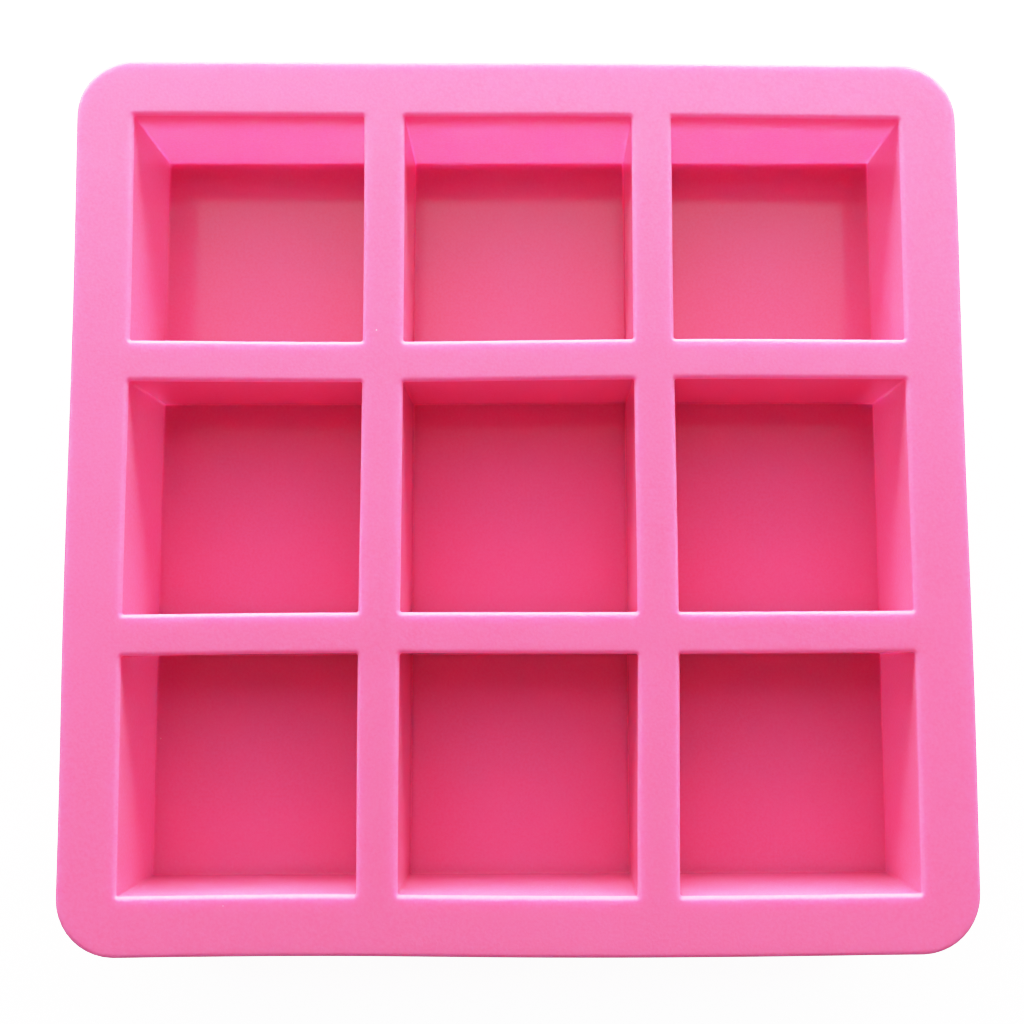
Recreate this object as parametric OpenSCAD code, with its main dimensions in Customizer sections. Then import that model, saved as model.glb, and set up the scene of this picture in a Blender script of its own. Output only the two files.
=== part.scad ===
// Nine-cavity mould for square soap bars: a tray moulded in one shot of flexible silicone.
// A flat rim and a grid of webs make the deck, and nine thin-walled cups hang below it.
// +Z points out of the cavities, and the cups stand on their floors at z = 0.
// The origin is the middle of the underside. All sizes are in millimetres.

/* [Cavities] */
// Inside width of each square cavity, along X and along Y
cavity_w = 60; // [40:1:90]
// Depth of each cavity, from the deck down to its floor
cavity_depth = 30; // [15:1:60]
// Radius of the upright corners inside a cavity, in plan
cavity_corner_r = 0.6; // [0.5:0.1:5]
// Radius where the walls of a cavity meet its floor
floor_fillet_r = 0.5; // [0.2:0.1:0.5]
// Radius of the lip where a cavity opens into the deck
lip_r = 1; // [0.3:0.1:1.5]

/* [Deck] */
// Width of the web between two cavities, at the deck
web_w = 10.5; // [8:0.5:20]
// Width of the flat rim outside the outer cavities
rim_w = 15; // [10:0.5:30]
// Thickness of the rim and the webs
deck_t = 3; // [2:0.5:6]
// Radius of the rim's four corners, in plan
rim_corner_r = 15; // [4:1:20]
// Radius of the rim's upper outer edge
rim_top_r = 1; // [0.2:0.1:1.2]
// Radius of the rim's lower outer edge
rim_under_r = 0.5; // [0.2:0.1:0.6]

/* [Cups] */
// Thickness of the cup walls
wall_t = 2; // [1.2:0.1:3]
// Thickness of the cup floors
floor_t = 2; // [1.2:0.1:4]
// Radius of the outer edge round the foot of a cup
foot_r = 1.2; // [0.3:0.1:1.5]
// Radius where the outside of a cup meets the underside of the deck
root_r = 1; // [0.3:0.1:1.5]

/* [Hidden] */
// Places of the cups, from the front row to the back row and from left to right
ROWS = ["front", "middle", "back"];
COLUMNS = ["left", "centre", "right"];
$fn = 64;

// Distance between the middles of two neighbouring cavities
pitch = cavity_w + web_w;
// Width of the square that holds the three by three cavities and the webs between them
field_w = 3 * cavity_w + 2 * web_w;
overall_w = field_w + 2 * rim_w;
cup_w = cavity_w + 2 * wall_t;
cup_corner_r = cavity_corner_r + wall_t;
deck_top = floor_t + cavity_depth;
deck_under = deck_top - deck_t;
// The root fillets of two neighbouring cups stop short of each other by this gap
root_gap = 0.4;
root_fillet_r = min(root_r, (web_w - 2 * wall_t - root_gap) / 2);
// Cuts and fillets reach this far past the faces that they meet
lap = 0.1;

function cup_name(row, column) = str("cup_", ROWS[row], "_", COLUMNS[column]);

// Square of side w with its corners rounded to radius r
module rounded_square(w, r) {
    square([w, w - 2 * r], center = true);
    square([w - 2 * r, w], center = true);
    for (x = [-1, 1], y = [-1, 1])
        translate([x, y] * (w / 2 - r))
            circle(r);
}

// Area between two faces that meet at [0, 0] and the arc that rounds them.
// It lies on the +X and +Y side, and reaches past the faces by lap_x and lap_y.
module spandrel(r, lap_x = lap, lap_y = lap) {
    difference() {
        translate([-lap_x, -lap_y])
            square([r + lap_x, r + lap_y]);
        translate([r, r])
            circle(r);
    }
}

// Carries a profile round a rounded square.
// The profile's X runs outwards from the side of the square, and its Y runs up.
module around_square(w, r) {
    straight = w - 2 * r;
    for (turn = [0:90:270])
        rotate(turn) {
            translate([w / 2, straight / 2, 0])
                rotate([90, 0, 0])
                    linear_extrude(straight)
                        children();
            translate([w / 2 - r, w / 2 - r, 0])
                rotate_extrude(angle = 90)
                    translate([r, 0])
                        children();
        }
}

module at_cavity(row, column) {
    translate([column - 1, row - 1, 0] * pitch)
        children();
}

// Space inside one cavity, open above the deck
module cavity_space() {
    translate([0, 0, floor_t])
        linear_extrude(cavity_depth + lap)
            rounded_square(cavity_w, cavity_corner_r);
}

// What the rounded lip of one cavity takes from the deck
module lip_cut() {
    translate([0, 0, deck_top])
        around_square(cavity_w, cavity_corner_r)
            mirror([0, 1])
                spandrel(lip_r);
}

// What the rounded edges take from the outside of the rim
module rim_edge_cut() {
    translate([0, 0, deck_top])
        around_square(overall_w, rim_corner_r)
            rotate(180)
                spandrel(rim_top_r);
    translate([0, 0, deck_under])
        around_square(overall_w, rim_corner_r)
            mirror([1, 0])
                spandrel(rim_under_r);
}

// The whole deck, rim and webs together
module deck() {
    difference() {
        translate([0, 0, deck_under])
            linear_extrude(deck_t)
                rounded_square(overall_w, rim_corner_r);
        rim_edge_cut();
        for (r = [0:2], c = [0:2])
            at_cavity(r, c) {
                cavity_space();
                lip_cut();
            }
    }
}

// Column over the field of cavities, which parts the webs from the rim
module field_column() {
    translate([0, 0, deck_under - lap])
        linear_extrude(deck_t + 2 * lap)
            rounded_square(field_w, cavity_corner_r);
}

module rim_flange() {
    color("hotpink")
        difference() {
            deck();
            field_column();
        }
}

module web_grid() {
    color("hotpink")
        intersection() {
            deck();
            field_column();
        }
}

// One cup: four walls and a floor, up to the underside of the deck
module cup() {
    color("deeppink") {
        difference() {
            linear_extrude(deck_under)
                rounded_square(cup_w, cup_corner_r);
            cavity_space();
            around_square(cup_w, cup_corner_r)
                mirror([1, 0])
                    spandrel(foot_r);
        }
        // fillet inside, between the walls and the floor
        translate([0, 0, floor_t])
            around_square(cavity_w, cavity_corner_r)
                mirror([1, 0])
                    spandrel(floor_fillet_r);
        // fillet outside, between the walls and the underside of the deck
        translate([0, 0, deck_under])
            around_square(cup_w, cup_corner_r)
                mirror([0, 1])
                    spandrel(root_fillet_r, lap_y = 0);
    }
}

rim_flange();
web_grid();
for (r = [0:2], c = [0:2])
    at_cavity(r, c) cup();
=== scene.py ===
"""A square tray mould for soap bars in flexible pink silicone, seen from above on a pale table.

The tray is one seamless moulding: flat rim, webs and nine thin-walled cups. Its mesh is swept
ring by ring from the sizes of the CAD solids, so that every lip, foot and rim edge is rounded.
"""

import math

import bmesh
import bpy
import numpy as np
from mathutils import Matrix, Vector, noise


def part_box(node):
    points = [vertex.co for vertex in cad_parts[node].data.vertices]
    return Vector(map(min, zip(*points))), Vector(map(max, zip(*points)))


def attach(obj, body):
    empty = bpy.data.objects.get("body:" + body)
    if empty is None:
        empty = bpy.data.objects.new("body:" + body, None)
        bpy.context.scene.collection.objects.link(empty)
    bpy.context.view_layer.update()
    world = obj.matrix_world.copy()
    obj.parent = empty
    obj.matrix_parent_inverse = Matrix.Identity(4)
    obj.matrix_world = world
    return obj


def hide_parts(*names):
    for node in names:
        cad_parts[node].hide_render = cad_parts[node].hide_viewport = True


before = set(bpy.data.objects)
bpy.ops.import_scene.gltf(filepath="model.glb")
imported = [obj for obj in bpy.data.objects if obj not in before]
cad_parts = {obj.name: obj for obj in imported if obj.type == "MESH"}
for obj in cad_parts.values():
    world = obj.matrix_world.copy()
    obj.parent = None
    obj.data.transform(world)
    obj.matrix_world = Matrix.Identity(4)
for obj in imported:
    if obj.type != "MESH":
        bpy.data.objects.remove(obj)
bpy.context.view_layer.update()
MM = 0.001

# ---------------------------------------------------------------- sizes, from the CAD solids

ROWS = ("front", "middle", "back")
COLUMNS = ("left", "centre", "right")
CUPS = [f"cup_{row}_{column}" for row in ROWS for column in COLUMNS]


def middle(node):
    low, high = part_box(node)
    return (low + high) / 2


RIM_LOW, RIM_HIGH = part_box("rim_flange")
FIELD_LOW, FIELD_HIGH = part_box("web_grid")
CUP_LOW, CUP_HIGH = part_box("cup_middle_centre")
PITCH = middle("cup_middle_right").x - middle("cup_middle_centre").x
FIELD_W = FIELD_HIGH.x - FIELD_LOW.x
CAVITY_W = FIELD_W - 2 * PITCH
DECK_TOP = RIM_HIGH.z
DECK_UNDER = RIM_LOW.z
OUTLINE_HALF = RIM_HIGH.x

# Radii and heights that the boxes don't give, as in part.scad
CAVITY_CORNER_R = 0.6 * MM
LIP_R = 1.0 * MM
FLOOR_R = 0.5 * MM
ROOT_R = 1.0 * MM
FOOT_R = 1.2 * MM
FLOOR_Z = 2.0 * MM
RIM_CORNER_R = 15.0 * MM
RIM_TOP_R = 1.0 * MM
RIM_UNDER_R = 0.5 * MM
WALL_T = (CUP_HIGH.x - CUP_LOW.x - CAVITY_W) / 2 - ROOT_R    # a cup's box takes in its root fillet

# How the soft tray lies out of true
SWAY_LENGTH = 110 * MM    # distance over which it wanders
SWAY_ALONG = 0.9 * MM
SWAY_UP = 0.7 * MM
SWAY_START = Vector((3.7, 1.2, 8.4))    # where in the noise the middle of the tray lies
SWAY_SEED = 2             # gives the same sway in every run
noise.seed_set(SWAY_SEED)

# ---------------------------------------------------------------- rings of the shell

SIDE_STEPS = 14      # stretches along one side of a cavity
CORNER_STEPS = 12    # stretches round one corner
ARC_STEPS = 5        # stretches across a rounded edge
UNDER_ARC_STEPS = 4  # stretches across the rim's lower edge
WALL_STEPS = 7       # stretches down a wall of a cavity
CUP_STEPS = 5        # stretches down the outside of a cup
RIM_STEPS = 2        # stretches down the outer face of the rim
FLOOR_STEPS = 9      # stretches from the edge to the middle of a cavity's floor
FOOT_STEPS = 6       # stretches from the edge to the middle of a cup's underside
WEB_STEPS = (2.6 * MM, 1.2 * MM)    # distances of the web's rings from the lip
RIM_SHARES = (0, 0.35, 0.7, 1)      # places of the rim's upper rings, from the webs to the edge
UNDER_SHARES = (0, 0.5, 1)          # places of its lower rings, from the edge back to the webs
HOLD = 0.25 * MM     # a ring this close to a rounded edge keeps the flat beside it flat
POINT = 1e-7         # a ring smaller than this is a single point
WELD = 0.005 * MM    # points closer together than this are one point
CORNER_START = CAVITY_W / 2 - CAVITY_CORNER_R
CELL_HALF = PITCH / 2


def four_times(quarter):
    """The points of one quarter of a ring, turned round to make the whole ring."""
    turned = [quarter]
    for _ in range(3):
        turned.append(np.stack([-turned[-1][:, 1], turned[-1][:, 0]], axis=1))
    return np.concatenate(turned)


def cavity_ring(offset):
    """A rounded square, offset outwards from the wall of a cavity."""
    half, radius = CAVITY_W / 2 + offset, CAVITY_CORNER_R + offset
    along = np.linspace(-CORNER_START, CORNER_START, SIDE_STEPS, endpoint=False)
    turn = np.linspace(0, math.pi / 2, CORNER_STEPS, endpoint=False)
    side = np.stack([np.full(SIDE_STEPS, half), along], axis=1)
    corner = CORNER_START + radius * np.stack([np.cos(turn), np.sin(turn)], axis=1)
    return four_times(np.concatenate([side, corner]))


def cell_ring():
    """The square border of one cell, with its points opposite those of a cavity's ring."""
    along = np.linspace(-CORNER_START, CORNER_START, SIDE_STEPS, endpoint=False)
    side = np.stack([np.full(SIDE_STEPS, CELL_HALF), along], axis=1)
    turn = np.linspace(0, math.pi / 2, CORNER_STEPS, endpoint=False)
    ray = np.stack([np.cos(turn), np.sin(turn)], axis=1)
    reach = (CELL_HALF - CORNER_START) / ray.max(axis=1, keepdims=True)
    return four_times(np.concatenate([side, CORNER_START + reach * ray]))


def field_ring():
    """The square border of the three by three cells, through the same points as theirs."""
    cell = cell_ring()
    side = np.sort(cell[np.isclose(cell[:, 0], CELL_HALF), 1])[:-1]
    side = np.concatenate([side + shift * PITCH for shift in (-1, 0, 1)])
    return four_times(np.stack([np.full(len(side), 1.5 * PITCH), side], axis=1))


def outline_ring(inset):
    """The outline of the rim, moved inwards, with its points opposite those of field_ring."""
    start = OUTLINE_HALF - RIM_CORNER_R
    field = field_ring()
    nearest = np.clip(field, -start, start)
    out = field - nearest
    return nearest + out / np.linalg.norm(out, axis=1, keepdims=True) * (RIM_CORNER_R - inset)


def arc(steps=ARC_STEPS):
    """Sine and cosine at even steps over a quarter turn, ends included."""
    turn = np.linspace(0, math.pi / 2, steps + 1)
    return list(zip(np.sin(turn), np.cos(turn)))


def levels(start, end, steps):
    """Heights between two rounded edges, with one close to each."""
    toward = math.copysign(HOLD, end - start)
    return [start + toward, *np.linspace(start, end, steps + 1)[1:-1], end - toward]


def raised(ring, z):
    return np.column_stack([ring, np.full(len(ring), z)])


def floor_rings(offset, z, steps):
    """Rings that keep a floor flat beside its edge and shrink to a point in its middle."""
    edge = cavity_ring(offset)
    shares = [1 - HOLD / CAVITY_W, *np.linspace(1, 0, steps + 1)[1:]]
    return [raised(edge * share, z) for share in shares]


def cavity_side():
    """Rings of one cell's upper side: web, lip, walls and floor of the cavity."""
    lip_low = DECK_TOP - LIP_R
    fillet_top = FLOOR_Z + FLOOR_R
    rings = [raised(cell_ring(), DECK_TOP)]
    rings += [raised(cavity_ring(LIP_R + out), DECK_TOP) for out in (*WEB_STEPS, HOLD)]
    rings += [raised(cavity_ring(LIP_R * (1 - s)), DECK_TOP - LIP_R * (1 - c)) for s, c in arc()]
    rings += [raised(cavity_ring(0), z) for z in levels(lip_low, fillet_top, WALL_STEPS)]
    rings += [raised(cavity_ring(-FLOOR_R * (1 - c)), FLOOR_Z + FLOOR_R * (1 - s)) for s, c in arc()]
    return rings + floor_rings(-FLOOR_R, FLOOR_Z, FLOOR_STEPS)


def cup_side():
    """Rings of one cell's under side: web, root fillet, outside of the cup and its foot."""
    root_low = DECK_UNDER - ROOT_R
    rings = [raised(cell_ring(), DECK_UNDER)]
    rings += [raised(cavity_ring(WALL_T + ROOT_R + HOLD), DECK_UNDER)]
    for s, c in arc():
        rings.append(raised(cavity_ring(WALL_T + ROOT_R * (1 - s)), DECK_UNDER - ROOT_R * (1 - c)))
    rings += [raised(cavity_ring(WALL_T), z) for z in levels(root_low, FOOT_R, CUP_STEPS)]
    rings += [raised(cavity_ring(WALL_T - FOOT_R * (1 - c)), FOOT_R * (1 - s)) for s, c in arc()]
    return rings + floor_rings(WALL_T - FOOT_R, 0, FOOT_STEPS)


def rim_rings():
    """Rings of the rim, from the field of cells over the outer edge and back underneath."""
    field = field_ring()
    over = outline_ring(RIM_TOP_R + HOLD)
    under = outline_ring(RIM_UNDER_R + HOLD)
    top_low = DECK_TOP - RIM_TOP_R
    under_high = DECK_UNDER + RIM_UNDER_R
    rings = [raised(field + (over - field) * share, DECK_TOP) for share in RIM_SHARES]
    for s, c in arc():
        rings.append(raised(outline_ring(RIM_TOP_R * (1 - s)), DECK_TOP - RIM_TOP_R * (1 - c)))
    rings += [raised(outline_ring(0), z) for z in levels(top_low, under_high, RIM_STEPS)]
    for s, c in arc(UNDER_ARC_STEPS):
        rings.append(raised(outline_ring(RIM_UNDER_R * (1 - c)), DECK_UNDER + RIM_UNDER_R * (1 - s)))
    rings += [raised(under + (field - under) * share, DECK_UNDER) for share in UNDER_SHARES]
    return rings


def add_rings(mesh, rings, place=(0, 0, 0), flip=False):
    """Adds rings of points and the faces between them. Rings that shrink to a point close as a fan."""
    place = Vector(place)
    made = []
    for ring in rings:
        if np.ptp(ring[:, :2]) < POINT:
            made.append([mesh.verts.new(Vector(ring[0]) + place)] * len(ring))
        else:
            made.append([mesh.verts.new(Vector(point) + place) for point in ring])
    for outer, inner in zip(made, made[1:]):
        for k in range(len(outer)):
            corners = [outer[k - 1], outer[k], inner[k], inner[k - 1]]
            corners = list(dict.fromkeys(corners))
            mesh.faces.new(corners[::-1] if flip else corners)


def sway(point):
    """How far the soft tray lies out of true: nothing at the table, most at the deck."""
    share = max(0, point.z / DECK_TOP)
    flow = noise.noise_vector(Vector((point.x, point.y, 0)) / SWAY_LENGTH + SWAY_START)
    return Vector((flow.x * SWAY_ALONG, flow.y * SWAY_ALONG, flow.z * SWAY_UP)) * share


def tray_mesh():
    mesh = bmesh.new()
    top, bottom = cavity_side(), cup_side()
    for node in CUPS:
        centre = middle(node)
        add_rings(mesh, top, (centre.x, centre.y, 0))
        add_rings(mesh, bottom, (centre.x, centre.y, 0), flip=True)
    add_rings(mesh, rim_rings(), flip=True)
    bmesh.ops.remove_doubles(mesh, verts=mesh.verts, dist=WELD)
    bmesh.ops.recalc_face_normals(mesh, faces=mesh.faces)
    for vertex in mesh.verts:
        vertex.co += sway(vertex.co)
    return mesh


def made_object(name, mesh):
    """An object in the scene that takes over a bmesh."""
    data = bpy.data.meshes.new(name)
    mesh.to_mesh(data)
    mesh.free()
    made = bpy.data.objects.new(name, data)
    bpy.context.scene.collection.objects.link(made)
    return made


# ---------------------------------------------------------------- silicone

IOR = 1.43
SCATTER = (4.6, 7.2, 7.6)          # how far red, green and blue light spread inside, in millimetres
DEEP_PINK = (0.995, 0.138, 0.325, 1)
PALE_PINK = (0.995, 0.168, 0.378, 1)
CLOUDING = 0.25                    # most that the clouds pull the colour towards the pale pink
CAVITY_ROUGHNESS = 0.12
DECK_ROUGHNESS = 0.42
SATIN_DEPTH = 0.1 * MM             # the silicone is satin down to this depth below the deck's top
POLISH_DEPTH = 1.5 * MM            # and polished from this depth down

GRAIN_SIZE = 0.7 * MM
CLOUD_SIZE = 14 * MM
NOISE_DETAIL = 2.0
NOISE_SPAN = (0.3, 0.7)            # the stretch of the noise that the colours use
GRAIN_HEIGHT = 0.04 * MM
CAVITY_GRAIN = 0.25                # the grain's strength in the cavities; the deck's is 1

DUST = (1, 0.62, 0.76, 1)
DUST_SPACING = 9 * MM
DUST_EDGE = (0.026, 0.014)         # outer and inner radius of a speck, in spacings
DUST_PICK = (0.84, 0.85)           # a speck shows where its cell's random number is past this


def silicone():
    """Translucent pink silicone: a satin deck, polished cavities, a faint grain and a little dust."""
    material = bpy.data.materials.new("silicone")
    material.use_nodes = True
    nodes, links = material.node_tree.nodes, material.node_tree.links
    shader = nodes["Principled BSDF"]
    shader.inputs["IOR"].default_value = IOR
    shader.inputs["Subsurface Weight"].default_value = 1.0
    shader.inputs["Subsurface Radius"].default_value = SCATTER
    shader.inputs["Subsurface Scale"].default_value = MM
    place = nodes.new("ShaderNodeTexCoord").outputs["Object"]

    def blend(factor, low, high):
        """A colour from low to high, by a factor from 0 to 1."""
        mix = nodes.new("ShaderNodeMix")
        mix.data_type = "RGBA"
        links.new(factor, mix.inputs["Factor"])
        for socket, value in ((mix.inputs[6], low), (mix.inputs[7], high)):
            if isinstance(value, tuple):
                socket.default_value = value
            else:
                links.new(value, socket)
        return mix.outputs[2]

    def ramp(value, start, end, low=0.0, high=1.0):
        """A number from low to high, while the value goes from start to end."""
        node = nodes.new("ShaderNodeMapRange")
        numbers = {"From Min": start, "From Max": end, "To Min": low, "To Max": high}
        for name, number in numbers.items():
            node.inputs[name].default_value = number
        links.new(value, node.inputs["Value"])
        return node.outputs[0]

    def grain(size):
        """Noise whose patches are about as large as the size, from 0 to 1 with its middle at 0.5."""
        node = nodes.new("ShaderNodeTexNoise")
        node.inputs["Scale"].default_value = 1 / size
        node.inputs["Detail"].default_value = NOISE_DETAIL
        links.new(place, node.inputs["Vector"])
        return node.outputs["Fac"]

    def dust():
        """1 on the specks of dust and 0 elsewhere. A speck sits in the middle of a few random cells."""
        cells = nodes.new("ShaderNodeTexVoronoi")
        cells.inputs["Scale"].default_value = 1 / DUST_SPACING
        links.new(place, cells.inputs["Vector"])
        speck = ramp(cells.outputs["Distance"], *DUST_EDGE)
        number = nodes.new("ShaderNodeSeparateColor")
        links.new(cells.outputs["Color"], number.inputs[0])
        few = ramp(number.outputs["Red"], *DUST_PICK)
        both = nodes.new("ShaderNodeMath")
        both.operation = "MULTIPLY"
        links.new(speck, both.inputs[0])
        links.new(few, both.inputs[1])
        return both.outputs[0]

    fine, cloud = grain(GRAIN_SIZE), grain(CLOUD_SIZE)
    colour = blend(ramp(fine, *NOISE_SPAN), DEEP_PINK, PALE_PINK)
    colour = blend(ramp(cloud, *NOISE_SPAN, 0.0, CLOUDING), colour, PALE_PINK)
    colour = blend(dust(), colour, DUST)
    links.new(colour, shader.inputs["Base Color"])

    height = nodes.new("ShaderNodeSeparateXYZ")
    links.new(place, height.inputs[0])
    deck = ramp(height.outputs["Z"], DECK_TOP - POLISH_DEPTH, DECK_TOP - SATIN_DEPTH)
    links.new(ramp(deck, 0, 1, CAVITY_ROUGHNESS, DECK_ROUGHNESS), shader.inputs["Roughness"])

    bump = nodes.new("ShaderNodeBump")
    bump.inputs["Distance"].default_value = GRAIN_HEIGHT
    links.new(ramp(deck, 0, 1, CAVITY_GRAIN, 1), bump.inputs["Strength"])
    links.new(fine, bump.inputs["Height"])
    links.new(bump.outputs[0], shader.inputs["Normal"])
    return material


tray = made_object("silicone_tray", tray_mesh())
tray.data.shade_smooth()
tray.data.materials.append(silicone())
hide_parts("rim_flange", "web_grid", *CUPS)
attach(tray, "root")

# ---------------------------------------------------------------- table

TABLE_HALF = 4
TABLE_GREY = (0.45, 0.45, 0.45, 1)
TABLE_WHITE = (0.9, 0.9, 0.9, 1)
TABLE_GLOW = 1.6


def pick_by_camera(nodes, links, others, camera, output):
    """Shows one shader to the camera and another to all other light."""
    path = nodes.new("ShaderNodeLightPath")
    pick = nodes.new("ShaderNodeMixShader")
    links.new(path.outputs["Is Camera Ray"], pick.inputs["Fac"])
    links.new(others.outputs[0], pick.inputs[1])
    links.new(camera.outputs[0], pick.inputs[2])
    links.new(pick.outputs[0], nodes[output].inputs["Surface"])


def white_stage_material():
    """Grey to the light that it sends back to the tray, and nearly burnt out for the camera."""
    material = bpy.data.materials.new("table")
    material.use_nodes = True
    nodes, links = material.node_tree.nodes, material.node_tree.links
    nodes.remove(nodes["Principled BSDF"])
    grey, white = (nodes.new("ShaderNodeBsdfDiffuse") for _ in range(2))
    grey.inputs["Color"].default_value = TABLE_GREY
    white.inputs["Color"].default_value = TABLE_WHITE
    glow = nodes.new("ShaderNodeEmission")
    glow.inputs["Strength"].default_value = TABLE_GLOW
    bright = nodes.new("ShaderNodeAddShader")
    links.new(white.outputs[0], bright.inputs[0])
    links.new(glow.outputs[0], bright.inputs[1])
    pick_by_camera(nodes, links, grey, bright, "Material Output")
    return material


def table():
    mesh = bmesh.new()
    bmesh.ops.create_grid(mesh, x_segments=1, y_segments=1, size=TABLE_HALF)
    made = made_object("table", mesh)
    made.data.materials.append(white_stage_material())


table()

# ---------------------------------------------------------------- light

# A window behind the tray and a bright ceiling. Places are in metres and brightness is radiance.
WINDOW_X = (-1.3, 1.4)
WINDOW_Y = 1.0
WINDOW_SILL, WINDOW_BAR, WINDOW_HEAD = (DECK_TOP + rise for rise in (0.05, 0.29, 0.45))
WINDOW_BELOW, WINDOW_ABOVE = 23, 30    # brightness below and above the bar
WINDOW_COLOUR = (1.0, 0.98, 0.85)
CEILING_X = (-1.2, 1.2)
CEILING_Y = (0.3, 2.4)
CEILING_Z = 1.3
CEILING_BRIGHTNESS = 1.8
CEILING_COLOUR = (0.95, 1.0, 1.15)

# The rest of the room, which lights the tray less and less from the horizon upwards
ROOM_COLOUR = (1, 0.75, 0.88, 1)
ROOM_FADE = (0.0, 0.8)             # the stretch of upward direction over which it dims
ROOM_BRIGHTNESS = (0.66, 0.18)
BACKDROP_COLOUR = (1, 1, 1, 1)     # what the camera sees behind the table
BACKDROP_BRIGHTNESS = 3.0


def panel(name, low, high, radiance, colour):
    """A soft light that fills the box from low to high, which is flat in Y or in Z."""
    low, high = Vector(low), Vector(high)
    span = high - low
    upright = span.y == 0
    data = bpy.data.lights.new(name, "AREA")
    data.shape = "RECTANGLE"
    data.size, data.size_y = span.x, span.z if upright else span.y
    data.energy = math.pi * radiance * data.size * data.size_y
    data.color = colour
    light = bpy.data.objects.new(name, data)
    light.location = (low + high) / 2
    light.rotation_euler = (math.radians(-90) if upright else 0, 0, 0)
    light.visible_camera = False
    bpy.context.scene.collection.objects.link(light)


def window(name, sill, head, radiance):
    """One part of the window, between two heights."""
    left, right = WINDOW_X
    panel(name, (left, WINDOW_Y, sill), (right, WINDOW_Y, head), radiance, WINDOW_COLOUR)


def room():
    """A dim pink room for the light, and a white backdrop for the camera."""
    world = bpy.data.worlds.new("room")
    bpy.context.scene.world = world
    world.use_nodes = True
    nodes, links = world.node_tree.nodes, world.node_tree.links
    walls = nodes["Background"]
    walls.inputs["Color"].default_value = ROOM_COLOUR
    way = nodes.new("ShaderNodeTexCoord")
    height = nodes.new("ShaderNodeSeparateXYZ")
    links.new(way.outputs["Generated"], height.inputs[0])
    fade = nodes.new("ShaderNodeMapRange")
    fade.inputs["From Min"].default_value, fade.inputs["From Max"].default_value = ROOM_FADE
    fade.inputs["To Min"].default_value, fade.inputs["To Max"].default_value = ROOM_BRIGHTNESS
    links.new(height.outputs["Z"], fade.inputs["Value"])
    links.new(fade.outputs[0], walls.inputs["Strength"])
    backdrop = nodes.new("ShaderNodeBackground")
    backdrop.inputs["Color"].default_value = BACKDROP_COLOUR
    backdrop.inputs["Strength"].default_value = BACKDROP_BRIGHTNESS
    pick_by_camera(nodes, links, walls, backdrop, "World Output")


window("window_low", WINDOW_SILL, WINDOW_BAR, WINDOW_BELOW)
window("window_high", WINDOW_BAR, WINDOW_HEAD, WINDOW_ABOVE)
ceiling_corners = [(x, y, CEILING_Z) for x, y in zip(CEILING_X, CEILING_Y)]
panel("ceiling", *ceiling_corners, CEILING_BRIGHTNESS, CEILING_COLOUR)
room()

# ---------------------------------------------------------------- camera and tones

CAMERA_PLACE = Vector((4.3 * MM, -40.1 * MM, DECK_TOP + 298.7 * MM))
CAMERA_AIM = Vector((6.5 * MM, -14.4 * MM, DECK_TOP))
CAMERA_ROLL = -0.18                # degrees
CAMERA_LENS = 41.35                # in millimetres, like the sensor's width
CAMERA_SENSOR = 36
CAMERA_SHIFT = (-0.031, 0.038)     # in shares of the picture's width

# Tones are kept up to the middle and rolled off towards white: scene level, then level shown
WHITE = 2.8
SHOULDER = ((0.55, 0.545), (0.7, 0.67), (0.85, 0.765), (1.0, 0.84), (1.2, 0.90), (1.45, 0.945), (1.9, 0.98))
COMBINED = 3                       # the curve that acts on all three colours


def photo_camera():
    data = bpy.data.cameras.new("camera")
    data.lens = CAMERA_LENS
    data.sensor_width = CAMERA_SENSOR
    data.shift_x, data.shift_y = CAMERA_SHIFT
    camera = bpy.data.objects.new("camera", data)
    back = (CAMERA_PLACE - CAMERA_AIM).normalized()
    right = Vector((0, 1, 0)).cross(back).normalized()
    axes = Matrix((right, back.cross(right), back)).transposed()
    camera.location = CAMERA_PLACE
    camera.rotation_euler = (axes @ Matrix.Rotation(math.radians(CAMERA_ROLL), 3, "Z")).to_euler()
    bpy.context.scene.collection.objects.link(camera)
    bpy.context.scene.camera = camera


def photo_tones():
    view = bpy.context.scene.view_settings
    view.view_transform = "Standard"
    view.use_curve_mapping = True
    tone = view.curve_mapping
    tone.white_level = (WHITE, WHITE, WHITE)
    curve = tone.curves[COMBINED]
    for level, shown in SHOULDER:
        curve.points.new(level / WHITE, shown)
    for point in curve.points:
        point.handle_type = "VECTOR"
    tone.update()


photo_camera()
photo_tones()
